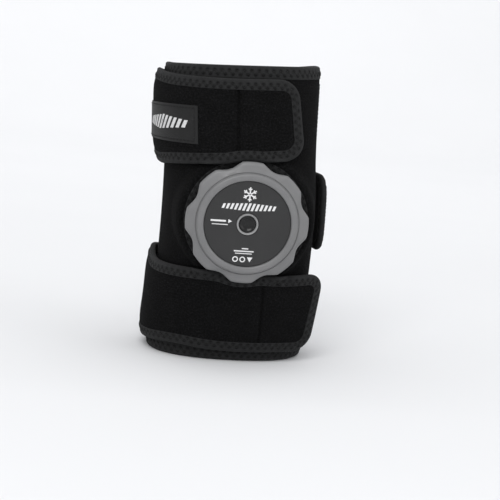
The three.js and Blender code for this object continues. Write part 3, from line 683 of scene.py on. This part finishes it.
class Strap:
    """A strap in lengths cut between its hinges, by degrees round the leg.

    bottom and top are its edges' heights. bulge, stand and skew are how far it swells, how far it
    stands off the leg, and the lean of its lines across in degrees. Each hinge is a place and how far
    the bend reaches to each side of it, middle is the hinges' height, and seam is a sewn line across.
    """

    def __init__(self, bottom, top, hinges, cuts, middle, seam, bulge=none, stand=none, skew=none):
        self.bottom, self.top, self.bulge, self.stand, self.skew = bottom, top, bulge, stand, skew
        self.hinges, self.cuts, self.middle, self.seam = hinges, cuts, middle, seam
        self.end = cuts[-1]
        self.towards = 1 if self.end > cuts[0] else -1
        self.bend = self.end - self.towards * CORNER / MM_PER_DEG

    def place(self, deg, z, level):
        low, high = self.bottom(deg), self.top(deg)
        share = (z - low) / (high - low)
        edge = np.maximum(np.minimum(z - low, high - z), 0)
        lift = self.bulge(deg) * (1 - 0.8 * np.exp(-((edge / 10) ** 2))) + self.stand(deg)
        return skin(deg + self.skew(deg) * (share - 0.5), z, level + lift)

    def rounding(self, deg):
        """How far the rounded end's outline stands in from the edges."""
        left = np.clip(1 - np.abs(self.end - deg) * MM_PER_DEG / CORNER, 0, 1)
        return CORNER * (1 - np.sqrt(np.maximum(1 - left * left, 0)))

    def cloth(self, name, start, stop):
        last, inside = stop == self.end, 0.9
        if last:
            stop = self.end - self.towards * inside / MM_PER_DEG
            tail = np.array([1, 0.85, 0.7, 0.55, 0.42, 0.3, 0.2, 0.12, 0.06, 0.02, 0])
            deg = np.concatenate([span(start, self.bend, 1.6)[:-1], stop + (self.bend - stop) * tail])
        else:
            deg = span(start, stop, 1.8)
        deg = self.with_seam(deg)[:, None]
        low, high = self.bottom(deg), self.top(deg)
        inset = inside + (self.rounding(deg) if last else 0)
        share = (1 - np.cos(np.linspace(0, math.pi, 30)))[None] / 2
        z = low + inset + (high - low - 2 * inset) * share
        edge = np.minimum(z - low - inset, high - inset - z) + inside
        if last:
            edge = np.minimum(edge, np.abs(self.end - deg) * MM_PER_DEG + 0 * z)
        groove = 1.9 * np.exp(-(((deg - self.seam) * MM_PER_DEG / 0.85) ** 2))
        quilt = 0.16 * np.sin(deg * 0.21 + z * 0.05) * np.sin(z * 0.13 + deg * 0.07)
        face = strap_face(edge) - groove + quilt
        uv = np.stack(matched(deg * STRAP_MAP, z), -1)
        return slab(name, self.place(deg, z, face), self.place(deg, z, strap_back(edge)), FABRIC, uv)

    def with_seam(self, deg):
        """Closer points where the seam crosses."""
        low, high = min(deg[0], deg[-1]), max(deg[0], deg[-1])
        near = self.seam + np.array([-2, -1.3, -0.8, -0.4, 0, 0.4, 0.8, 1.3, 2])
        near = near[(near > low + 0.3) & (near < high - 0.3)]
        if not len(near):
            return deg
        base = deg[np.abs(deg - self.seam) > 2.4]
        out = np.sort(np.concatenate([base, near]))
        return out if self.towards > 0 else out[::-1]

    def runs(self, start, stop):
        """The tape's runs along this length: round the free end as one, else one for each edge."""
        per, straight = self.towards / MM_PER_DEG, stop != self.end
        deg = span(start, stop if straight else self.bend, 1.4)
        edges = [(deg, self.bottom(deg), (0, 1)), (deg, self.top(deg), (0, -1))]
        if not straight:
            edges = [self.round_the_end(deg, per)]
        elif start == self.cuts[0]:
            z = span(self.bottom(start) + 3, self.top(start) - 3, 2.5)
            edges.append((np.full(len(z), start), z, (per, 0)))
        return [Run(*edge, STRAP_WIDTH, STRAP_ROWS, strap_face, strap_back, self.place) for edge in edges]

    def round_the_end(self, straight, per):
        """Places and inward directions along the lower edge, round the free end and back."""
        turn = np.linspace(0, 90, 12)[1:-1] * RAD
        lean = [(math.sin(t) * per, 1 - math.cos(t)) for t in turn]
        path = [(d, self.bottom(d), 0, 1) for d in straight]
        corner = [(self.bend + CORNER * across, CORNER * rise, -across, 1 - rise) for across, rise in lean]
        path += [(d, self.bottom(d) + rise, across, up) for d, rise, across, up in corner]
        side = span(self.bottom(self.end) + CORNER, self.top(self.end) - CORNER, 2.2)
        path += [(self.end, z, -per, 0) for z in side]
        path += [(d, self.top(d) - rise, across, -up) for d, rise, across, up in corner[::-1]]
        path += [(d, self.top(d), 0, -1) for d in straight[::-1]]
        path = np.array(path, float)
        return path[:, 0], path[:, 1], path[:, 2:]

    def column(self, deg, sunk=5.85):
        """A row of straight stitches up the strap."""
        z = span(self.bottom(deg) + 6.5, self.top(deg) - 6.5, 3.6)
        at = lambda z, level: self.place(np.full(len(z), deg), z, level)
        up = at(z[:-1], 7.0) - at(z[:-1], 6.0)
        return at(z[:-1] + 0.5, sunk), at(z[1:] - 0.5, sunk), up

    def pad(self, name):
        """The hook pad under the tab."""
        margin = 5
        start = self.hinges[-1][0] + self.towards * 4.5
        end = self.end - self.towards * margin / MM_PER_DEG
        tail = np.array([1, 0.7, 0.45, 0.25, 0.1, 0.02])
        deg = np.concatenate([span(start, self.bend, 1.8)[:-1], end + (self.bend - end) * tail])[:, None]
        radius = CORNER - margin
        left = np.clip(1 - np.abs(end - deg) * MM_PER_DEG / radius, 0, 1)
        inset = margin + radius * (1 - np.sqrt(np.maximum(1 - left * left, 0)))
        low, high = self.bottom(deg), self.top(deg)
        z = low + inset + (high - low - 2 * inset) * np.linspace(0, 1, 14)[None]
        uv = np.stack(matched(deg * STRAP_MAP, z), -1)
        return slab(name, self.place(deg, z, 1.5), self.place(deg, z, 0.85), HOOK, uv, 40)


def upper_top(deg):
    across = np.sin(deg * RAD)
    return 208.3 + 3.2 * across + 2.2 * np.minimum(across, 0) ** 2 + 3 * bump(deg, -90, 27)


STRAPS = {
    "upper": Strap(
        bottom=lambda d: np.maximum(149.7 + 0.13 * np.clip(d, -60, 60), CELL[2] + beside_cap(d, 43.5)),
        top=upper_top,
        bulge=lambda d: 3.5 * bump(d, -90, 38),
        skew=lambda d: -1.5 * bump(d, -6.5, 30),
        hinges=[(-180, 3.5), (-146, 3.5), (-113, 2.6), (-24, 3.0), (-6.5, 3.5)],
        cuts=[-205, -163, -129, -68, -15.25, 33.3],
        middle=178,
        seam=-6.5,
    ),
    "lower": Strap(
        bottom=lambda d: 8 + 2.2 * bump(d, -42, 22),
        top=lambda d: np.minimum(69.5 - 2 * bump(d, 30, 30) + 6 * bump(d, -100, 25), CELL[2] - beside_cap(d, 41.4)),
        bulge=lambda d: 2 * bump(d, -90, 38),
        stand=lambda d: 8.5 * np.clip((d - 28) / 32, 0, 1.2) ** 2,
        skew=lambda d: -6 * bump(d, 18, 24),
        hinges=[(-180, 3.5), (-132, 3.5), (-83, 3.5), (-33, 3.5), (18, 3.5)],
        cuts=[-205, -156, -107.5, -58, -7.5, 58],
        middle=38,
        seam=18,
    ),
    "middle": Strap(
        bottom=lambda d: 81 + 0 * d,
        top=lambda d: 139 + 0 * d,
        stand=lambda d: 3 * np.clip((102 - d) / 25, 0, 1) ** 2,
        hinges=[(195, 3.5), (150, 3.5), (110, 3.5)],
        cuts=[216, 172.5, 130, 72],
        middle=110,
        seam=110,
    ),
}
for key, strap in STRAPS.items():
    parts = ("far", "shin", "tab") if key == "middle" else ("far", "calf", "side", "front", "tab")
    chain = [ROOT] + [f"{key}_strap_{part}" for part in parts]
    for i, (start, stop) in enumerate(zip(strap.cuts, strap.cuts[1:])):
        hinge, reach = strap.hinges[i]
        name = f"{key}_strap_{i + 1}"
        cloth = strap.cloth(name, start, stop)
        runs = strap.runs(start, stop)
        tapes = [run.tape(f"{name}_tape_{k + 1}", STRAP_BIND) for k, run in enumerate(runs)]
        stitches = sew(name + "_stitches", runs)
        rows = []
        if min(start, stop) < strap.seam < max(start, stop):
            rows.append(strap.column(strap.seam, 4.2))
        if i == 0:
            rows += [strap.column(start + strap.towards * 8), strap.column(hinge - strap.towards * 5)]
        extras = [stitches]
        if rows:
            extras.append(threads(name + "_seam", *joined(rows), DARK_THREAD, 0.3, 0.1))
        reach *= strap.towards
        ends = [Vector(in_frame(strap.place(d, strap.middle, 3.8))) for d in (hinge - reach, hinge + reach)]
        nodes = [chain[i + 1]] + ([f"{key}_strap_anchor"] if i == 0 else [])
        for piece, slot in [(cloth, "loop_fabric")] + [(t, "binding_tape") for t in tapes + extras]:
            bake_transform(piece)
        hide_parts(*nodes)
        along = np.linspace(start, stop, 9)
        width = float(np.mean(strap.top(along) - strap.bottom(along))) / 1000
    finish_piece(strap.pad(key + "_hooks"), chain[-1], [f"{key}_hook_pad"])


# ---- woven label ----
LABEL_START, LABEL_END, LABEL_HALF = -29, -109, 13.5


def label_at(deg, t, proud):
    """On the upper strap: degrees round the leg and -1 to 1 from the label's lower edge to its upper."""
    deg, t = matched(deg, t)
    middle = 172.6 + 0.02 * (deg + 60)
    lean = -1.6 * np.clip((deg + 60) / 30, 0, 1) * t
    return skin(deg + lean, middle + LABEL_HALF * t, 6.0 + STRAPS["upper"].bulge(deg) + proud)


def woven_label():
    deg = span(LABEL_START, LABEL_END, 1.6)[:, None]
    t = np.linspace(-1, 1, 18)[None]
    rim = np.minimum(np.abs(deg - LABEL_START), np.abs(deg - LABEL_END)) * STRAP_MAP
    swell = 0.35 * (1 - np.exp(-((np.minimum(rim, (1 - np.abs(t)) * 14) / 1.6) ** 2)))
    uv = np.stack(matched(deg * LABEL_MAP, t * 14), -1)
    return slab("woven_label", label_at(deg, t, 0.62 + swell), label_at(deg, t, 0.28 + 0 * swell), LABEL, uv, 50)


def label_border():
    """Straight stitches just inside the label's edge."""
    near, far, high = LABEL_START - 2, LABEL_END + 2, 0.86
    corners = [(near, -high), (near, high), (far, high), (far, -high), (near, -high)]
    sets = []
    for (d0, t0), (d1, t1) in zip(corners, corners[1:]):
        k = np.arange(int(math.hypot((d1 - d0) * LABEL_MAP, (t1 - t0) * 14) / 2.6))
        a, b = (k + 0.12) / len(k), (k + 0.88) / len(k)
        at = lambda share, proud: label_at(d0 + (d1 - d0) * share, t0 + (t1 - t0) * share, proud)
        sets.append((at(a, 0.95), at(b, 0.95), at(a, 2.0) - at(a, 1.0)))
    return threads("label_stitches", *joined(sets), THREAD, 0.24, 0.12)


def slanted_bars(count, pitch, heights):
    """Outlines of a row of leaning bars, centred, as corner lists."""
    outlines = []
    for i in range(count):
        x, h = (i - (count - 1) / 2) * pitch, heights(i) / 2
        w, lean = pitch * 0.29, h * 0.35
        outlines.append([(x - w - lean, -h), (x + w - lean, -h), (x + w + lean, h), (x - w + lean, h)])
    return outlines


def label_bars():
    outlines = slanted_bars(11, 4.6, lambda i: 5 + 6 * (1 - abs(i - 5) / 5.5))
    at = lambda x, y, proud: label_at(-57.0 + x / LABEL_MAP, y / 14, proud)
    return raised("label_bars", outlines, at, (0.9, 1.12), WHITE_THREAD)


finish_piece(woven_label(), "upper_strap_side", ["label_patch"])
finish_piece(label_border(), "upper_strap_side")
finish_piece(label_bars(), "upper_strap_side")


# ---- cap ----
def hollow(angle):
    """How far the grip's outline stands in from its lobes' radius, in millimetres."""
    share = np.mod((angle - 90 + 1) / 45, 1)
    from_top = np.abs(share - 0.5) * 2
    depth = np.clip(1 - from_top / 0.58, 0, 1)
    return -3.4 * np.sin(depth * math.pi / 2) ** 1.15


CAP_RADIUS = 44.4
cap_profile = [
    (36.6, 1.6), (39.6, 1.6), (39.9, 1.75), (40, 2.1), (40, 6.6), (40, 6.9),
    (CAP_RADIUS - 0.9, 6.9, 1), (CAP_RADIUS - 0.35, 7.05, 1), (CAP_RADIUS - 0.08, 7.5, 1), (CAP_RADIUS, 8.1, 1),
    (CAP_RADIUS, 9.2, 1), (CAP_RADIUS - 0.15, 10.0, 1), (CAP_RADIUS - 0.5, 10.7, 1), (CAP_RADIUS - 1.1, 11.25, 1),
    (CAP_RADIUS - 2.0, 11.6, 1), (CAP_RADIUS - 3.2, 11.9, 0.75), (39.6, 12.25, 0.35), (38.2, 12.7),
    (37.6, 12.85), (37.3, 12.75), (37.05, 12.5), (36.8, 12.45), (36.6, 12.6), (36.5, 13.0), (36.4, 13.7),
    (36.1, 14.3), (35.6, 14.7), (34.9, 14.93), (34, 15), (33, 15), (32.2, 14.9), (31.7, 14.6), (31.4, 14.1),
    (31.3, 13.4), (31.3, 12.4), (6.7, 12.4), (6.7, 4.0), (2.6, 4.0), (2.6, 2.6), (8.4, 2.6), (8.4, 10.6),
    (36.5, 10.6), (36.5, 1.7),
]
disc_profile = [
    (7.95, 12.7), (31.1, 12.7), (31.2, 12.9), (31.1, 13.55), (30.8, 13.75), (30.2, 13.8), (20, 13.95),
    (8.8, 14.0), (8.2, 13.9), (7.95, 13.6),
]
bezel_profile = [
    (6.3, 12.7), (7.75, 12.7), (7.8, 13.0), (7.8, 14.2), (7.65, 14.6), (7.35, 14.85), (7.0, 14.8),
    (6.6, 14.5), (6.35, 14.1),
]
button_profile = [
    (0, 10.4), (5.9, 10.4), (6.1, 10.6), (6.1, 12.9), (5.95, 13.3), (5.6, 13.55), (5.2, 13.6),
    (4.7, 13.4), (4.1, 12.95), (3.2, 12.55), (1.8, 12.3), (0, 12.2),
]
cap = lathe("screw_cap", cap_profile, CAP, 384, hollow, 30)
disc = lathe("cap_disc", disc_profile, DISC, 192)
bezel = lathe("button_ring", bezel_profile, BEZEL, 128)
button = lathe_solid("release_button_top", button_profile, BUTTON)
finish_piece(cap, "cap", ["cap_shell"])
finish_piece(disc, "cap", ["label_disc"])
finish_piece(bezel, "cap", ["button_bezel"])
finish_piece(button, "button", ["release_button"])


def bar(x0, y0, x1, y1, width):
    """A straight bar's corners."""
    length = math.hypot(x1 - x0, y1 - y0)
    nx, ny = -(y1 - y0) / length * width / 2, (x1 - x0) / length * width / 2
    return [(x0 - nx, y0 - ny), (x1 - nx, y1 - ny), (x1 + nx, y1 + ny), (x0 + nx, y0 + ny)]


def snowflake(cx, cy, radius, width):
    outlines = []
    for k in range(6):
        a = math.pi / 2 + k * math.pi / 3
        c, s = math.cos(a), math.sin(a)
        outlines.append(bar(cx + 0.5 * c, cy + 0.5 * s, cx + radius * c, cy + radius * s, width))
        x, y, twig = cx + 0.55 * radius * c, cy + 0.55 * radius * s, 0.34 * radius
        for b in (a - math.pi / 4, a + math.pi / 4):
            outlines.append(bar(x, y, x + twig * math.cos(b), y + twig * math.sin(b), width * 0.85))
    return outlines


def ring_outline(cx, cy, r0, r1, count=20):
    outlines = []
    for k in range(count):
        a, b = 2 * math.pi * k / count, 2 * math.pi * (k + 1) / count
        corners = ((r0, a), (r1, a), (r1, b), (r0, b))
        outlines.append([(cx + r * math.cos(t), cy + r * math.sin(t)) for r, t in corners])
    return outlines


def on_disc(x, y, rise):
    r = math.hypot(x, y)
    top = np.interp(r, [9.4, 20, 30.2], [14.0, 13.95, 13.8])
    return cell_point(math.degrees(math.atan2(y, x)), r, top + rise)


row = slanted_bars(13, 3.0, lambda i: 3.2 + 2.6 * (1 - abs(i - 6) / 6.5))
marks = snowflake(0, 21.8, 5.2, 0.95) + [[(x, y + 12.6) for x, y in outline] for outline in row]
marks += [bar(-26.5, 1.6, -15.6, 1.6, 1.3), [(-13.9, 0.2), (-11.2, 1.6), (-13.9, 3.0)]]
marks += [bar(-25.5, -1.0, -14.0, -1.0, 0.6), bar(-2.6, -17.8, 2.0, -17.8, 0.8)]
marks += [bar(-8.2, -19.7, 6.0, -19.7, 0.9), bar(-7.2, -21.4, 4.9, -21.4, 0.6)]
marks += ring_outline(-6.8, -25.8, 1.3, 2.1) + ring_outline(-1.6, -25.8, 1.3, 2.1)
marks += [[(1.6, -24.0), (5.6, -24.0), (3.6, -27.6)]]
finish_piece(raised("disc_marks", marks, on_disc, (-0.05, 0.06), PRINT), "cap")


# ---- ice bladder ----
def bladder_room(u, v):
    """The front and back of the room for the bladder behind the panel, along the cell's axis."""

    def depth(w, radius_at):
        p = cell_at(u, v, w)
        x = p[..., 0] - midline(p[..., 2])
        return radius_at(np.arctan2(x, -p[..., 1]) / RAD, p[..., 2]) - np.hypot(x, p[..., 1])

    def solve(target, radius_at):
        low, high = np.full_like(u, -66), np.zeros_like(u)
        for _ in range(26):
            w = (low + high) / 2
            deep = depth(w, radius_at) > target
            low, high = np.where(deep, w, low), np.where(deep, high, w)
        return (low + high) / 2

    limb = lambda deg, z: limb_radius(deg, half_width(z) - 6.4, 50 + 6 * z / 218 - 5.4, 2.2)
    return np.minimum(solve(FOAM + 2.9, skin_radius), -8.7), solve(-0.3, limb)


def bladder():
    """The bladder, and the points of its mouth, which the clamp ring holds."""
    around = 72
    angle = np.arange(around) * 2 * math.pi / around
    front = np.array([0.82, 0.86, 0.9, 0.94, 0.97, 0.99])
    back = np.array([1.0, 0.985, 0.96, 0.92, 0.86, 0.78, 0.68, 0.57, 0.45, 0.32, 0.18])

    def wall(share, sign):
        share = share[:, None] + 0 * angle
        u, v = 45.4 * share * np.cos(angle), 58.4 * share * np.sin(angle)
        near, far = bladder_room(u, v)
        puff = np.sqrt(np.maximum(1 - share**8, 0))
        half = np.maximum((near - far) / 2, 2.0) * puff + 1.2 * (1 - puff)
        gather = 0.35 * np.sin(angle * 18) * share**6
        w = (near + far) / 2 + sign * np.maximum(half - 0.8, 0.8) + gather
        return cell_at(u, v, w)

    mouth_profile = ((10, -11.2), (22, -11.2), (31.0, -10.6), (32.2, -9.2), (36, -8.9))
    mouth = [cell_point(angle / RAD, r, w) for r, w in mouth_profile]
    rings = np.concatenate([np.stack(mouth), wall(front, 1), wall(back, -1)])
    ends = [cell_point(0, 0, mouth_profile[0][1])[None], wall(np.array([0.0]), -1)[0, :1]]
    points = np.concatenate([rings.reshape(-1, 3)] + ends)
    obj = make("ice_bladder_pillow", points, loft_faces(len(rings), around, points=True), FILM)
    return obj, [*range(len(mouth) * around), len(rings) * around]


def inflate(obj, pinned, cap_mm):
    """Lets the film swell under pressure, and keeps each point within cap_mm of its start."""
    scene, mesh = bpy.context.scene, obj.data
    group = obj.vertex_groups.new(name="mouth")
    group.add(pinned, 1.0, "REPLACE")
    cloth = obj.modifiers.new("Cloth", "CLOTH")
    cloth.settings.use_pressure = True
    cloth.settings.uniform_pressure_force = 4
    cloth.settings.effector_weights.gravity = 0
    cloth.settings.vertex_group_mass = "mouth"
    cloth.point_cache.frame_start, cloth.point_cache.frame_end = 1, 20
    for step in range(1, 21):
        scene.frame_set(step)
    rest = np.zeros(len(mesh.vertices) * 3)
    mesh.vertices.foreach_get("co", rest)
    swollen = np.zeros_like(rest)
    obj.evaluated_get(bpy.context.evaluated_depsgraph_get()).data.vertices.foreach_get("co", swollen)
    obj.modifiers.remove(cloth)
    scene.frame_set(1)
    move = (swollen - rest).reshape(-1, 3)
    length = np.linalg.norm(move, axis=1, keepdims=True)
    move *= np.minimum(1, cap_mm / 1000 / np.maximum(length, 1e-9))
    mesh.vertices.foreach_set("co", rest + move.ravel())
    mesh.update()


pillow, mouth_points = bladder()
inflate(pillow, mouth_points, 0.9)
finish_piece(pillow, ROOT, ["ice_bladder"])


# ---- return spring ----
def spring():
    """A helix of round wire with its two end turns closed up."""
    steps, sides, wire = 320, 12, 0.38
    share = np.linspace(0, 1, steps + 1)
    rise = 4.7 + 5.0 * np.clip((share - 0.06) / 0.88, 0, 1)
    line = cell_point(share * 5 * 360, 3.9, rise)
    out = unit(line - cell_point(0, 0, rise))
    side = np.cross(unit(np.gradient(line, axis=0)), out)
    turn = (np.arange(sides) * 2 * math.pi / sides)[:, None]
    points = line[:, None] + wire * (np.cos(turn) * out[:, None] + np.sin(turn) * side[:, None])
    return make("valve_spring", points, loft_faces(steps + 1, sides), STEEL, sharp=50)


coil = finish_piece(spring(), "cap", ["return_spring"])
seat = in_frame(cell_point(0, 0, 4.3))
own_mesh(coil)

# ---- nodes that keep their own shape ----
for node, material in {
    "cell_neck": NECK,
    "bladder_clamp_ring": NECK,
    "valve_stem": NECK,
    "cap_gasket": RUBBER,
    "valve_seal": RUBBER,
    "stem_clip": STEEL,
}.items():
    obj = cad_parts[node]
    if not obj.material_slots:
        obj.data.materials.append(material)
    for slot in obj.material_slots:
        slot.material = material


# ---- floor, light and camera ----
def stage():
    """A pale floor that curves up into a wall."""
    depth = [(-6.0, 0.0), (2.0, 0.0)]
    depth += [(2.0 + 1.5 * math.sin(a * RAD), 1.5 - 1.5 * math.cos(a * RAD)) for a in range(5, 91, 5)]
    depth += [(3.5, 6.0)]
    points = [(x, y, z - 0.0005) for y, z in depth for x in (-8.0, 8.0)]
    mesh = bpy.data.meshes.new("floor")
    mesh.from_pydata(points, [], [(2 * i, 2 * i + 1, 2 * i + 3, 2 * i + 2) for i in range(len(depth) - 1)])
    mesh.shade_smooth()
    f = Finish("pale_floor", (0.785, 0.79, 0.8), 0.9, Specular_IOR_Level=0.05)
    f.ramp(f.noise(f.place(), 3.0, 2.0), [(0.3, (0.78, 0.785, 0.795)), (0.7, (0.79, 0.795, 0.805))])
    mesh.materials.append(f.material)
    obj = bpy.data.objects.new("floor", mesh)
    bpy.context.scene.collection.objects.link(obj)


def lamp(name, place, target, size, power):
    data = bpy.data.lights.new(name, "AREA")
    data.shape, data.size, data.size_y, data.energy = "RECTANGLE", size[0], size[1], power
    obj = bpy.data.objects.new(name, data)
    obj.location = place
    obj.rotation_euler = (Vector(target) - Vector(place)).to_track_quat("-Z", "Y").to_euler()
    bpy.context.scene.collection.objects.link(obj)


stage()
lamp("key", (-0.5, -1.6, 1.5), (0, 0, 0.1), (1.2, 1.2), 21)
lamp("fill", (1.6, -1.0, 0.8), (0, 0, 0.1), (1.0, 1.4), 5)
lamp("top", (0.1, 0.3, 2.0), (0, 0, 0.1), (1.6, 1.6), 4)
lamp("backdrop", (0, 1.2, 2.6), (0, 3.4, 1.0), (4.0, 1.0), 42)
world = bpy.data.worlds.new("studio")
world.use_nodes = True
sky = world.node_tree.nodes["Background"].inputs
sky["Color"].default_value, sky["Strength"].default_value = (0.98, 0.985, 1.0, 1), 0.74
bpy.context.scene.world = world
bpy.context.scene.view_settings.view_transform = "Standard"

eye, target, roll = Vector((-0.1002, -1.0818, 0.2345)), Vector((0.01479, 0.01218, 0.0765)), 4.5 * RAD
ahead = (target - eye).normalized()
right = ahead.cross(Vector((0, 0, 1))).normalized()
above = right.cross(ahead)
c, s = math.cos(roll), math.sin(roll)
right, above = right * c + above * s, above * c - right * s
camera = bpy.data.objects.new("camera", bpy.data.cameras.new("camera"))
camera.data.lens, camera.data.sensor_width = 103.9, 36
camera.data.clip_start, camera.data.clip_end = 0.05, 50
camera.matrix_world = Matrix.Translation(eye) @ Matrix((right, above, -ahead)).transposed().to_4x4()
bpy.context.scene.collection.objects.link(camera)
bpy.context.scene.camera = camera
